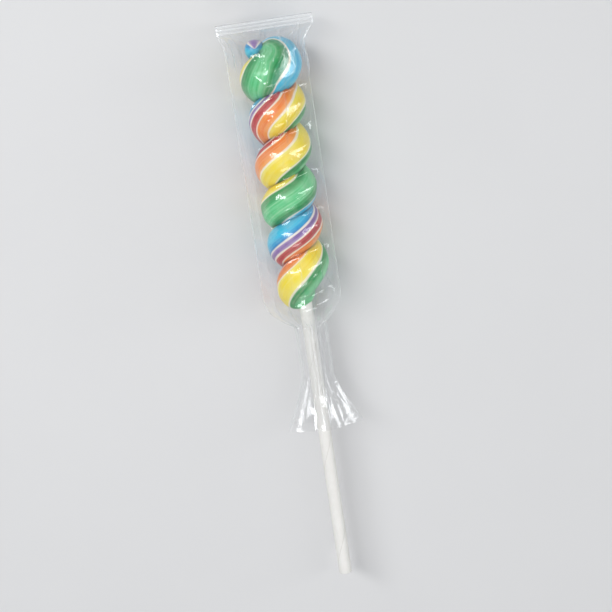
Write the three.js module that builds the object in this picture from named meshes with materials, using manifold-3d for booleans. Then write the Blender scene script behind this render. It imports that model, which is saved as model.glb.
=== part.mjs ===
// A twisted rope lollipop on a paper stick, sealed in a clear film sleeve, lying on its side.
//
// Millimetres. The stick's axis runs along Y with the tip of the candy at +Y, +Z is up and
// z = 0 is the table. Each piece is built round its own axis and the group is lifted onto the
// table. Angles round the axis start at the top and grow towards +X.
import * as THREE from "three";
import { ParametricGeometry } from "three/addons/geometries/ParametricGeometry.js";
import { mergeVertices } from "three/addons/utils/BufferGeometryUtils.js";
import Module from "manifold-3d";

// ---- driving dimensions ----

// The candy: one thick strand of pulled sugar coiled tightly on itself, as a right-handed screw.
const CANDY_LENGTH = 72;
const CANDY_RADIUS = 7.9; // from the axis to the crest of a lobe
const STRAND_RADIUS = 5.7;
const LOBE_SPACING = 10.45; // along the axis for one turn of the coil
const FIRST_LOBE_FROM_TIP = 10.1; // where the strand last lies on top
const TURNS_BELOW_FIRST_LOBE = 5.33;
const TURNS_ABOVE_FIRST_LOBE = 0.75; // the strand then folds over the tip and ends at the left
const FOLD_CLIMB = 1.5; // how far the fold stands above an even climb
const FOLD_CLIMB_TURNS = 0.6; // over this much of the coil
const FOLD_START_TURNS = 0.2; // where the strand begins to thin, above the first lobe
const KNOB_RADIUS = 2.6; // the pinched end of the strand
const KNOB_REACH = 3.3; // off the axis
const KNOB_START_TURNS = 0.5; // where its end begins to stand out
const SPREAD = 0.8; // how much further the first lobe reaches to each side than the others
const SWELLING = 0.08; // share by which the strand swells there
const SWELLING_MIDDLE_TURNS = -0.05; // from the first lobe
const SWELLING_SPAN_TURNS = 0.5; // to each side of that
const SIDE_LIFT = 1.7; // how far the strand rides up on the left, on its way to the first lobe
const SIDE_LIFT_TURNS = -0.24; // from the first lobe, and less at each lobe below
const SIDE_LIFT_GONE_TURNS = -3.5;
const SHOULDER_THINNING = 0.9; // share of the strand left where it closes on the stick
const SHOULDER_DROP = 1.3; // how far the start of the strand is drawn down along the stick
const SPACING_WOBBLE = 0.3; // how far the hand-made coil runs ahead or behind, in radians
const WOBBLE_LENGTH = 5.9; // along the axis for one radian of that
const THICKNESS_WOBBLE = 0.06; // share by which the strand thins between its fullest places
const THICKNESS_RATE = 0.83; // radians of that for one of the coil

// The stick.
const STICK_DIAMETER = 3.5;
const STICK_LENGTH = 99;
const STICK_SHOWING = 75;
const STICK_EDGE = 0.2; // softened rim of its cut end

// The film: a flat tube, sealed across the tip, gathered on the stick and left open at the hem.
const FILM_THICKNESS = 0.4;
const CLEARANCE = 0.3;
const SLACK = 0.6; // how much the sleeve would stand below the table before it is pressed flat
const SAG = 1.3; // how far the film dips between two lobes
const SAG_SHARPNESS = 4; // how closely it hugs the lobes, as a power
const SAG_FADE = 3; // to each side of the first lobe, above which the film lies smooth
const PRESSED_ANGLE = 0.4; // to each side of the underside, where the table keeps it from dipping
const LEFT_MARGIN = 2.2; // the pressed edge beside the candy, on its -X side
const RIGHT_MARGIN = 0.8; // and on its +X side
const PRESSED_SHARE = 0.6; // of a margin, which stays flat before the sleeve bulges
const SEAL_REACH = 4.5; // the seal ends this far past the tip
const SEAL_CLOSING = 5; // the sleeve starts to close this far below the tip
const SEAL_CURVE = 2.2; // how late it closes, as a power
const SEAL_LENGTH = 2.6;
const SEAL_HALF_WIDTH = 12.5;
const SEAL_HALF_HEIGHT = 0.6;
const SHOULDER_SLOPE = 9; // length over which the sleeve closes on the stick
const SHOULDER_CURVE = 2.2; // how late it closes, as a power
const NECK_LENGTH = 14;
const NECK_HALF_WIDTH = 4.3;
const NECK_SHIFT = 0.5; // towards +X
const NECK_HALF_HEIGHT = 3;
const SKIRT_LENGTH = 14;
const HEM_HALF_WIDTH = 10.4;
const HEM_HALF_HEIGHT = 5.4;
const FLARE_CURVE = 1.3; // how late the skirt flares, as a power
const HEM_WAVE = 1.2; // depth of the loose folds at the hem
const HEM_FOLDS = 5;
const NECK_PLEAT = 0.2; // depth of the gathers at the neck
const NECK_FOLDS = 9;

// ---- fineness ----
const CANDY_SIDES = 32;
const ROWS_PER_LOBE = 12;
const CANDY_END_STEPS = 9;
const BALL_STEP = 0.06; // radians of the coil from one ball to the next
const FILM_SIDES = 36;
const FILM_STEPS = 46;
const STICK_SIDES = 32;
const MERGE_DISTANCE = 1e-4;

// ---- worked out from them ----
const TAU = 2 * Math.PI;
const HELIX_RADIUS = CANDY_RADIUS - STRAND_RADIUS;
const AXIS_HEIGHT = CANDY_RADIUS + CLEARANCE + FILM_THICKNESS;
const SLEEVE_RADIUS = AXIS_HEIGHT + SLACK;
const TOTAL_LENGTH = STICK_SHOWING + CANDY_LENGTH + SEAL_REACH;
const STICK_END = -TOTAL_LENGTH / 2;
const SHOULDER = STICK_END + STICK_SHOWING;
const TIP = SHOULDER + CANDY_LENGTH;
const FIRST_LOBE = TIP - FIRST_LOBE_FROM_TIP;
const FIRST_TURN = -TAU * TURNS_BELOW_FIRST_LOBE;
const LAST_TURN = TAU * TURNS_ABOVE_FIRST_LOBE;
const SEAL_END = TIP + SEAL_REACH;
const SEAL_START = SEAL_END - SEAL_LENGTH;
const NECK_START = SHOULDER - SHOULDER_SLOPE / 2;
const NECK_END = NECK_START - NECK_LENGTH;
const HEM = NECK_END - SKIRT_LENGTH;
const { clamp, lerp, smoothstep } = THREE.MathUtils;

const wasm = await Module();
wasm.setup();

// ---- solids from surfaces ----

// A surface that closes on itself, as a manifold-3d solid.
function solidOf(geometry) {
  const bare = geometry.clone();
  bare.deleteAttribute("normal");
  bare.deleteAttribute("uv");
  const merged = mergeVertices(bare, MERGE_DISTANCE);
  const corners = [];
  for (let i = 0; i < merged.index.count; i += 3) {
    const [a, b, c] = [0, 1, 2].map((k) => merged.index.getX(i + k));
    if (a !== b && b !== c && c !== a) corners.push(a, b, c);
  }
  return new wasm.Manifold(
    new wasm.Mesh({
      numProp: 3,
      vertProperties: new Float32Array(merged.attributes.position.array),
      triVerts: new Uint32Array(corners),
    }),
  );
}

// A manifold-3d solid as a three.js geometry with flat faces.
function geometryOf(solid) {
  const mesh = solid.getMesh();
  const indexed = new THREE.BufferGeometry()
    .setAttribute("position", new THREE.BufferAttribute(mesh.vertProperties, 3))
    .setIndex(new THREE.BufferAttribute(mesh.triVerts, 1));
  const geometry = indexed.toNonIndexed();
  geometry.computeVertexNormals();
  return geometry;
}

// ---- the candy ----

// Where the coil has got to, in radians, at a place along the axis: 0 at the first lobe.
function turnAt(y) {
  const fromFirst = y - FIRST_LOBE;
  return (TAU * fromFirst) / LOBE_SPACING + SPACING_WOBBLE * Math.sin(fromFirst / WOBBLE_LENGTH);
}

// The place along the axis that the coil reaches after a turn.
function coilHeight(turn) {
  const fromFirst = (LOBE_SPACING * turn) / TAU;
  const wobble = (LOBE_SPACING / TAU) * SPACING_WOBBLE * Math.sin(fromFirst / WOBBLE_LENGTH);
  return FIRST_LOBE + fromFirst - wobble;
}

// How far the strand has swollen for the first lobe, from 0 to 1.
function swellingAt(turn) {
  const fromMiddle = turn / TAU - SWELLING_MIDDLE_TURNS;
  return 1 - smoothstep(Math.abs(fromMiddle), 0, SWELLING_SPAN_TURNS);
}

// How far the strand rides up on the left of each lobe, from 0 to 1.
function sideLiftAt(turn) {
  const turns = Math.min(turn / TAU, SIDE_LIFT_TURNS + 0.5);
  const wave = (1 + Math.cos(TAU * (turns - SIDE_LIFT_TURNS))) / 2;
  return wave * smoothstep(turns, SIDE_LIFT_GONE_TURNS, SIDE_LIFT_TURNS);
}

// The middle of the strand after a turn of the coil.
function strandCentre(turn) {
  const atStart = 1 - smoothstep(turn, FIRST_TURN, FIRST_TURN + TAU / 2);
  const climbed = clamp(turn / FOLD_CLIMB_TURNS, 0, TAU);
  const climb = (FOLD_CLIMB * (1 - Math.cos(climbed))) / 2;
  const y = coilHeight(turn) + climb + SIDE_LIFT * sideLiftAt(turn) - SHOULDER_DROP * atStart;
  const opening = lerp(HELIX_RADIUS, KNOB_REACH, smoothstep(turn, TAU * KNOB_START_TURNS, LAST_TURN));
  const spread = SPREAD * swellingAt(turn) * Math.sin(turn) ** 2;
  const reach = opening * lerp(1, SHOULDER_THINNING, atStart) + spread;
  return new THREE.Vector3(reach * Math.sin(turn), y, reach * Math.cos(turn));
}

// The radius of the strand.
function strandRadius(turn) {
  const folding = smoothstep(turn, TAU * FOLD_START_TURNS, LAST_TURN);
  const atStart = 1 - smoothstep(turn, FIRST_TURN, FIRST_TURN + TAU / 3);
  const thinning = lerp(1, SHOULDER_THINNING, atStart);
  const wobble = 1 - (THICKNESS_WOBBLE * (1 - Math.sin(THICKNESS_RATE * turn))) / 2;
  const full = STRAND_RADIUS * thinning * wobble * (1 + SWELLING * swellingAt(turn));
  return lerp(full, KNOB_RADIUS, folding);
}

// The balls that fill the strand from its start at the stick to its end beside the tip.
function strandBalls() {
  const count = Math.round((LAST_TURN - FIRST_TURN) / BALL_STEP);
  return Array.from({ length: count + 1 }, (_, i) => {
    const turn = lerp(FIRST_TURN, LAST_TURN, i / count);
    return new THREE.Sphere(strandCentre(turn), strandRadius(turn));
  });
}

// How far a ray from the axis runs before it leaves the last of the balls.
function reachAlong(origin, direction, balls) {
  const offset = new THREE.Vector3();
  let reach = 0;
  for (const ball of balls) {
    const nearest = offset.subVectors(ball.center, origin).dot(direction);
    const halfChord = ball.radius ** 2 - offset.lengthSq() + nearest ** 2;
    if (halfChord > 0) reach = Math.max(reach, nearest + Math.sqrt(halfChord));
  }
  return reach;
}

// The coil as one closed surface, fused along its turns. Its rows climb with the coil, so that
// the crease between two lobes runs along an edge, and they fan out over both ends.
function coilGeometry() {
  const balls = strandBalls();
  const from = SHOULDER + STRAND_RADIUS;
  const to = TIP - 2 * KNOB_RADIUS;
  const rowsBelow = Math.ceil((1 - turnAt(from) / TAU) * ROWS_PER_LOBE) + 1;
  const rows = rowsBelow + Math.ceil((turnAt(to) / TAU) * ROWS_PER_LOBE) + 1;
  const steps = rows + 2 * CANDY_END_STEPS;
  const direction = new THREE.Vector3();
  const place = (u, v, target) => {
    const step = Math.round(v * steps) - CANDY_END_STEPS;
    const row = clamp(step, 0, rows);
    const angle = TAU * u;
    const height = coilHeight(angle + (TAU * (row - rowsBelow)) / ROWS_PER_LOBE);
    const origin = new THREE.Vector3(0, clamp(height, from, to), 0);
    const rise = (TAU / 4) * ((step - row) / CANDY_END_STEPS);
    const level = Math.abs(step - row) === CANDY_END_STEPS ? 0 : Math.cos(rise);
    direction.set(level * Math.sin(angle), Math.sin(rise), level * Math.cos(angle));
    target.copy(origin).addScaledVector(direction, reachAlong(origin, direction, balls));
  };
  return new ParametricGeometry(place, CANDY_SIDES, steps);
}

// A round bar along the axis with softened rims, used for the stick and its socket.
function barGeometry(radius, from, to, edge) {
  const profile = [
    new THREE.Vector2(0, from),
    new THREE.Vector2(radius - edge, from),
    new THREE.Vector2(radius, from + edge),
    new THREE.Vector2(radius, to - edge),
    new THREE.Vector2(radius - edge, to),
    new THREE.Vector2(0, to),
  ];
  return new THREE.LatheGeometry(profile, STICK_SIDES);
}

// The coiled strand with a blind socket for the stick.
function candy() {
  const socketTop = STICK_END + STICK_LENGTH + CLEARANCE;
  const socket = barGeometry(STICK_DIAMETER / 2 + CLEARANCE, NECK_START, socketTop, STICK_EDGE);
  const solid = solidOf(coilGeometry()).subtract(solidOf(socket));
  const sugar = new THREE.MeshStandardMaterial({ color: 0xf2b705, roughness: 0.35, metalness: 0 });
  const mesh = new THREE.Mesh(geometryOf(solid), sugar);
  mesh.name = "candy";
  return mesh;
}

// ---- the stick ----

function stick() {
  const bar = barGeometry(STICK_DIAMETER / 2, STICK_END, STICK_END + STICK_LENGTH, STICK_EDGE);
  const paper = new THREE.MeshStandardMaterial({ color: 0xf3f2ee, roughness: 0.8, metalness: 0 });
  const mesh = new THREE.Mesh(bar, paper);
  mesh.name = "stick";
  return mesh;
}

// ---- the film ----

// The sleeve round the candy: a circle with a pressed edge at each side, dipping between lobes.
function sleeveSection(angle, y, inset) {
  const margin = angle < Math.PI ? RIGHT_MARGIN : LEFT_MARGIN;
  const circle = SLEEVE_RADIUS - inset;
  const tangentAt = Math.acos(SLEEVE_RADIUS / (SLEEVE_RADIUS + margin));
  const fromEdge = Math.abs((angle % Math.PI) - Math.PI / 2);
  const fromLobe = Math.abs(Math.sin((angle - turnAt(y)) / 2));
  const belowTip = 1 - smoothstep(y, FIRST_LOBE - SAG_FADE, FIRST_LOBE + SAG_FADE);
  const offMargin = smoothstep(fromEdge, PRESSED_SHARE * tangentAt, 1.4 * tangentAt);
  const offTable = smoothstep(Math.abs(angle - Math.PI), PRESSED_ANGLE, 2 * PRESSED_ANGLE);
  const dip = SAG * belowTip * offMargin * offTable * fromLobe ** SAG_SHARPNESS;
  const radius = circle / Math.cos(Math.max(tangentAt - fromEdge, 0)) - dip;
  return [radius * Math.sin(angle), radius * Math.cos(angle)];
}

// An oval section with loose folds round it, two sets of them of unlike number.
function ovalSection(angle, halfWidth, halfHeight, inset, depth, folds) {
  const loose = depth * (0.6 * Math.sin(folds * angle + 0.7) + 0.4 * Math.sin((folds - 2) * angle + 2));
  return [
    (halfWidth - inset + loose) * Math.sin(angle),
    (halfHeight - inset + loose) * Math.cos(angle),
  ];
}

// A point of the film, inset from its outer face, at an angle round the axis.
function filmPoint(angle, y, inset) {
  const sleeve = sleeveSection(angle, y, inset);
  const seal = ovalSection(angle, SEAL_HALF_WIDTH, SEAL_HALF_HEIGHT, inset, 0, 0);
  const neck = ovalSection(angle, NECK_HALF_WIDTH, NECK_HALF_HEIGHT, inset, NECK_PLEAT, NECK_FOLDS);
  const hem = ovalSection(angle, HEM_HALF_WIDTH, HEM_HALF_HEIGHT, inset, HEM_WAVE, HEM_FOLDS);
  const closingFrom = TIP - SEAL_CLOSING;
  const sealing = clamp((y - closingFrom) / (SEAL_START - closingFrom), 0, 1) ** SEAL_CURVE;
  const closing = clamp((NECK_START + SHOULDER_SLOPE - y) / SHOULDER_SLOPE, 0, 1) ** SHOULDER_CURVE;
  const flaring = clamp((NECK_END - y) / SKIRT_LENGTH, 0, 1) ** FLARE_CURVE;
  const [x, z] = [0, 1].map((i) => {
    const body = lerp(sleeve[i], seal[i], sealing);
    return lerp(lerp(body, neck[i], closing), hem[i], flaring);
  });
  const shift = NECK_SHIFT * closing * (1 - flaring);
  return new THREE.Vector3(x + shift, y, Math.max(z, inset - AXIS_HEIGHT));
}

// One face of the film between two places along the axis, closed flat at both ends.
function filmSolid(inset, from, to) {
  const ring = (u, v, target) => {
    const share = (v * FILM_STEPS - 1) / (FILM_STEPS - 2);
    const y = lerp(from, to, clamp(share, 0, 1));
    const open = v > 0 && v < 1 ? 1 : 0;
    target.copy(filmPoint(TAU * (u % 1), y, inset));
    target.x *= open;
    target.z *= open;
  };
  return solidOf(new ParametricGeometry(ring, FILM_SIDES, FILM_STEPS));
}

// The film sleeve, hollow from its open hem up to the seal.
function wrapper() {
  const outside = filmSolid(0, HEM, SEAL_END);
  const inside = filmSolid(FILM_THICKNESS, HEM - 1, SEAL_START);
  const film = new THREE.MeshStandardMaterial({
    color: 0xf4f7fa,
    roughness: 0.08,
    metalness: 0,
    transparent: true,
    opacity: 0.3,
  });
  const mesh = new THREE.Mesh(geometryOf(outside.subtract(inside)), film);
  mesh.name = "wrapper";
  return mesh;
}

// ---- the lollipop ----
const lollipop = new THREE.Group();
lollipop.name = "swirl_lollipop";
lollipop.add(candy(), stick(), wrapper());
lollipop.position.z = AXIS_HEIGHT;

export default lollipop;
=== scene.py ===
"""A twisted rope lollipop on its paper stick, in a clear film sleeve, lying on a pale surface.

Sizes are in millimetres and angles in radians, and a mesh is brought to metres when it is
finished. The stick's axis runs along Y with the tip of the candy at +Y. Angles round the axis
start at the top and grow towards +X.
"""

import logging
import math
from dataclasses import dataclass, field
from enum import Enum

import bmesh
import bpy
import numpy as np
from mathutils import Matrix, Vector


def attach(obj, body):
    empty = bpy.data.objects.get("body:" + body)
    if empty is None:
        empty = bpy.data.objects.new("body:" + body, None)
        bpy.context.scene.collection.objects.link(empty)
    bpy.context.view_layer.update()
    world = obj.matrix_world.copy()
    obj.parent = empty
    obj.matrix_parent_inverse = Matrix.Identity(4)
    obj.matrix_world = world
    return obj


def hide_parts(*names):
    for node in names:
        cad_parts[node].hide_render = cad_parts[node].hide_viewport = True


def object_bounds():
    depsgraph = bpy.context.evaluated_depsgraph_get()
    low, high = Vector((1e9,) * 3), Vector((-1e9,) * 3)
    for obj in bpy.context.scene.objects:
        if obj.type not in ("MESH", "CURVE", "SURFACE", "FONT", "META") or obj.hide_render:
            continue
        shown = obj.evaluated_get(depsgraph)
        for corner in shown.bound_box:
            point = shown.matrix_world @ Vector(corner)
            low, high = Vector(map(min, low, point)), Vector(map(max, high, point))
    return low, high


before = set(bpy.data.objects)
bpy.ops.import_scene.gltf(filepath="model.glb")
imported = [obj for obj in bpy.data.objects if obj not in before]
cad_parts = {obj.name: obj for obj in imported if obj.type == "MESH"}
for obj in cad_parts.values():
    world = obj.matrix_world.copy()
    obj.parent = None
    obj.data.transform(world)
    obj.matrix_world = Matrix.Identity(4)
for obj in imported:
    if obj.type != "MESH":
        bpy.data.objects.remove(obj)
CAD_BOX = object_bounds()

Array = np.ndarray
Colour = Triple = tuple[float, float, float]
Mesh = bmesh.types.BMesh
Socket = bpy.types.NodeSocket
Span = tuple[float, float]

LOG = logging.getLogger("lollipop")
TAU = 2 * math.pi
MM = 0.001
BODY = "root"


# ---- sums on arrays ----


def ramp(value: Array, low: float, high: float) -> Array:
    """Rise evenly from 0 at low to 1 at high, and stay there."""
    return np.clip((value - low) / (high - low), 0, 1)


def smoothstep(value: Array, low: float, high: float) -> Array:
    """Rise from 0 at low to 1 at high, smoothly at both."""
    share = ramp(value, low, high)
    return share * share * (3 - 2 * share)


def blend(start: Array, end: Array, share: Array) -> Array:
    """Mix two values: start where share is 0 and end where it is 1."""
    return start + (end - start) * share


def hermite(value: Array, knots: tuple[Triple, ...]) -> Array:
    """Run a smooth curve through knots of place, height and slope.

    Args:
        value: Where to read the curve.
        knots: Place, height and slope of each knot, in rising order of place.

    Returns:
        The curve's height at each value.
    """
    place, height, slope = (np.array(column) for column in zip(*knots))
    left = np.clip(np.searchsorted(place, value) - 1, 0, len(place) - 2)
    span = place[left + 1] - place[left]
    share = (value - place[left]) / span
    rest = 1 - share
    inner = slope[left] * rest - slope[left + 1] * share
    line = blend(height[left], height[left + 1], share)
    drop = (height[left + 1] - height[left]) * (rest - share)
    return line + share * rest * (inner * span - drop)


# ---- shader nodes ----


class Bench:
    """A node tree with short ways to add nodes and to join them."""

    def __init__(self, tree: bpy.types.NodeTree) -> None:
        """Start with an empty tree."""
        self.tree = tree
        tree.nodes.clear()

    def add(self, kind: str, *values: object, **named: object) -> bpy.types.Node:
        """Add a node, set it up and feed its inputs.

        Args:
            kind: The node's type name, without its ShaderNode prefix.
            *values: Values or sockets for its first inputs.
            **named: Settings in small letters, then inputs by name with _ for a blank.

        Returns:
            The node.
        """
        node = self.tree.nodes.new("ShaderNode" + kind)
        for name, value in named.items():
            if name.islower():
                setattr(node, name, value)
            else:
                self.feed(node.inputs[name.replace("_", " ")], value)
        for socket, value in zip(node.inputs, values):
            self.feed(socket, value)
        return node

    def feed(self, socket: Socket, value: object) -> None:
        """Link a socket to another, or set its value."""
        if isinstance(value, Socket):
            self.tree.links.new(value, socket)
        else:
            socket.default_value = value

    def maths(self, operation: str, *values: object) -> Socket:
        """Work out a sum of one to three values or sockets."""
        return self.add("Math", *values, operation=operation).outputs[0]

    def total(self, *weighed: tuple[object, float], start: object = 0.0) -> Socket:
        """Add up values, each times its weight, on top of a start."""
        for value, weight in weighed:
            start = self.maths("MULTIPLY_ADD", value, weight, start)
        return start

    def span(self, value: object, low: object, high: object, to_low: float = 0.0,
             to_high: float = 1.0) -> Socket:
        """Carry a value smoothly from one range to another, held at its ends."""
        return self.add("MapRange", value, low, high, to_low, to_high,
                        interpolation_type="SMOOTHSTEP").outputs[0]

    def mix(self, share: object, first: object, second: object, mode: str = "MIX") -> Socket:
        """Mix two colours.

        Args:
            share: How much of the second shows.
            first: A colour or a socket.
            second: Another.
            mode: How they mix.

        Returns:
            The colour's socket.
        """
        node = self.add("Mix", share, data_type="RGBA", blend_type=mode)
        colours = [socket for socket in node.inputs if socket.type == "RGBA"]
        for socket, value in zip(colours, (first, second)):
            self.feed(socket, (*value, 1) if isinstance(value, tuple) else value)
        return next(socket for socket in node.outputs if socket.type == "RGBA")

    def noise(self, vector: object, scale: object, detail: float = 2.0,
              roughness: float = 0.5) -> Socket:
        """Read smooth noise, from about 0.25 to 0.75."""
        return self.add("TexNoise", Vector=vector, Scale=scale, Detail=detail,
                        Roughness=roughness).outputs[0]

    def vector(self, *parts: object) -> Socket:
        """Join three numbers to a vector."""
        return self.add("CombineXYZ", *parts).outputs[0]

    def object_place(self) -> Socket:
        """Read the place on the piece, in metres."""
        return self.add("TexCoord").outputs["Object"]

    def own_map(self, name: str) -> list[Socket]:
        """Read the two numbers of the piece's own map."""
        return self.add("SeparateXYZ", self.add("UVMap", uv_map=name).outputs[0]).outputs[:2]

    def attribute(self, name: str) -> Socket:
        """Read a number that the piece carries at each vertex."""
        return self.add("Attribute", attribute_name=name).outputs["Fac"]

    def ramp(self, value: object, stops: list[tuple[float, Colour]]) -> Socket:
        """Read a colour ramp.

        Args:
            value: Where to read it, from 0 to 1.
            stops: Places and colours, in rising order.

        Returns:
            The colour socket.
        """
        node = self.add("ValToRGB", Fac=value)
        elements = node.color_ramp.elements
        while len(elements) < len(stops):
            elements.new(1.0)
        for element, (place, colour) in zip(elements, stops):
            element.position = place
            element.color = (*colour, 1)
        return node.outputs[0]

    def bump(self, height: object, depth: float) -> Socket:
        """Turn heights of 0 to 1 into a bumped normal, depth millimetres deep."""
        return self.add("Bump", Height=height, Strength=1.0, Distance=depth * MM).outputs[0]


def hand_grain() -> bpy.types.NodeTree:
    """Build, once, the unevenness that everything made by hand or drawn in a machine has.

    Returns:
        A node group that gives a slow Tone and a fine Height, both about 0 to 1.
    """
    name = "hand_grain"
    if name in bpy.data.node_groups:
        return bpy.data.node_groups[name]
    tree = bpy.data.node_groups.new(name, "ShaderNodeTree")
    bench = Bench(tree)
    for socket, way, kind in (("Vector", "INPUT", "Vector"), ("Patch Scale", "INPUT", "Float"),
                              ("Grain Scale", "INPUT", "Float"), ("Tone", "OUTPUT", "Float"),
                              ("Height", "OUTPUT", "Float")):
        tree.interface.new_socket(socket, in_out=way, socket_type="NodeSocket" + kind)
    given = tree.nodes.new("NodeGroupInput").outputs
    patches = bench.noise(given["Vector"], given["Patch Scale"], 3.0, 0.55)
    grain = bench.noise(given["Vector"], given["Grain Scale"], 2.0, 0.6)
    out = tree.nodes.new("NodeGroupOutput").inputs
    bench.feed(out["Tone"], bench.span(patches, 0.3, 0.7))
    bench.feed(out["Height"], grain)
    return tree


class Finish:
    """What a piece is made of. A finish fills in the nodes of its material."""

    name: str
    patches: float  # of tone, in a metre
    grains: float  # of the surface, in a metre

    def material(self) -> bpy.types.Material:
        """Make the material.

        Returns:
            The material, with its nodes.
        """
        material = bpy.data.materials.new(self.name)
        material.use_nodes = True
        bench = Bench(material.node_tree)
        bench.add("OutputMaterial", Surface=self.surface(bench))
        return material

    def surface(self, bench: Bench) -> Socket:
        """Fill in the nodes and return the shader's socket."""
        raise NotImplementedError

    def grain(self, bench: Bench) -> bpy.types.NodeOutputs:
        """Place the shared grain on the piece and return its outputs, Tone and Height."""
        return bench.add("Group", node_tree=hand_grain(), Vector=bench.object_place(),
                         Patch_Scale=self.patches, Grain_Scale=self.grains).outputs


class Piece:
    """Something modelled in millimetres, and dressed and declared in metres."""

    name: str
    node: str  # the CAD node that it stands for, whose material slot has the same name
    finish: Finish
    crease_angle: float = math.radians(35)
    merge_distance: float = 1e-4

    def model(self, bm: Mesh) -> None:
        """Model the piece in an empty mesh."""
        raise NotImplementedError

    def declare(self, piece: bpy.types.Object) -> None:
        """Let the object stand for its node: hang it on the body and hide the CAD node."""
        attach(piece, BODY)
        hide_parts(self.node)

    def build(self) -> None:
        bm = bmesh.new()
        self.model(bm)
        for face in bm.faces:
            face.smooth = True
        bmesh.ops.scale(bm, vec=(MM, MM, MM), verts=bm.verts)
        mesh = bpy.data.meshes.new(self.name)
        bm.to_mesh(mesh)
        bm.free()
        mesh.materials.append(self.finish.material())
        piece = bpy.data.objects.new(self.name, mesh)
        bpy.context.scene.collection.objects.link(piece)
        self.declare(piece)
        LOG.info("%s: %d faces", self.name, len(mesh.polygons))

    def open_grid(self, bm: Mesh, columns: int, rows: int) -> Array:
        """Start from a grid, and return its vertices' places, from 0 to 1 both ways."""
        bmesh.ops.create_grid(bm, x_segments=columns, y_segments=rows, size=1)
        return np.array([vert.co[:2] for vert in bm.verts]) / 2 + 0.5

    def close_grid(self, bm: Mesh, points: Array, mark: str, values: Array) -> None:
        """Move the grid's vertices, mark them and join the grid's edges.

        Args:
            bm: The grid.
            points: Where its vertices go.
            mark: The name of the number that each carries.
            values: Those numbers.
        """
        layer = bm.verts.layers.float.new(mark)
        for vert, point, value in zip(bm.verts, points, values):
            vert.co = point
            vert[layer] = value
        bmesh.ops.remove_doubles(bm, verts=bm.verts, dist=self.merge_distance)
        bmesh.ops.recalc_face_normals(bm, faces=bm.faces)

    def sharpen(self, bm: Mesh) -> None:
        """Shade edges sharp where faces meet at more than the crease angle."""
        for edge in bm.edges:
            if edge.is_manifold and edge.calc_face_angle(0) > self.crease_angle:
                edge.smooth = False


# ---- the finishes ----


class Sugar(Enum):
    """The colours of pulled sugar that make up the rope."""

    YELLOW = (0.96, 0.77, 0.035)
    PALE_YELLOW = (0.97, 0.85, 0.14)
    GREEN = (0.003, 0.32, 0.075)
    PALE_GREEN = (0.14, 0.64, 0.28)
    TEAL = (0.005, 0.31, 0.18)
    CYAN = (0.02, 0.56, 0.82)
    BLUE = (0.008, 0.24, 0.60)
    LILAC = (0.46, 0.32, 0.60)
    PURPLE = (0.22, 0.11, 0.38)
    CRIMSON = (0.52, 0.020, 0.032)
    ROSE = (0.62, 0.08, 0.08)
    ORANGE = (0.93, 0.26, 0.024)
    PALE_ORANGE = (0.96, 0.41, 0.08)
    CREAM = (0.98, 0.90, 0.75)


@dataclass(frozen=True)
class Stripe:
    """One stripe of the rope: where it starts across the rope, in turns, and its colours."""

    start: float
    colours: tuple[Sugar, ...]


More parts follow.
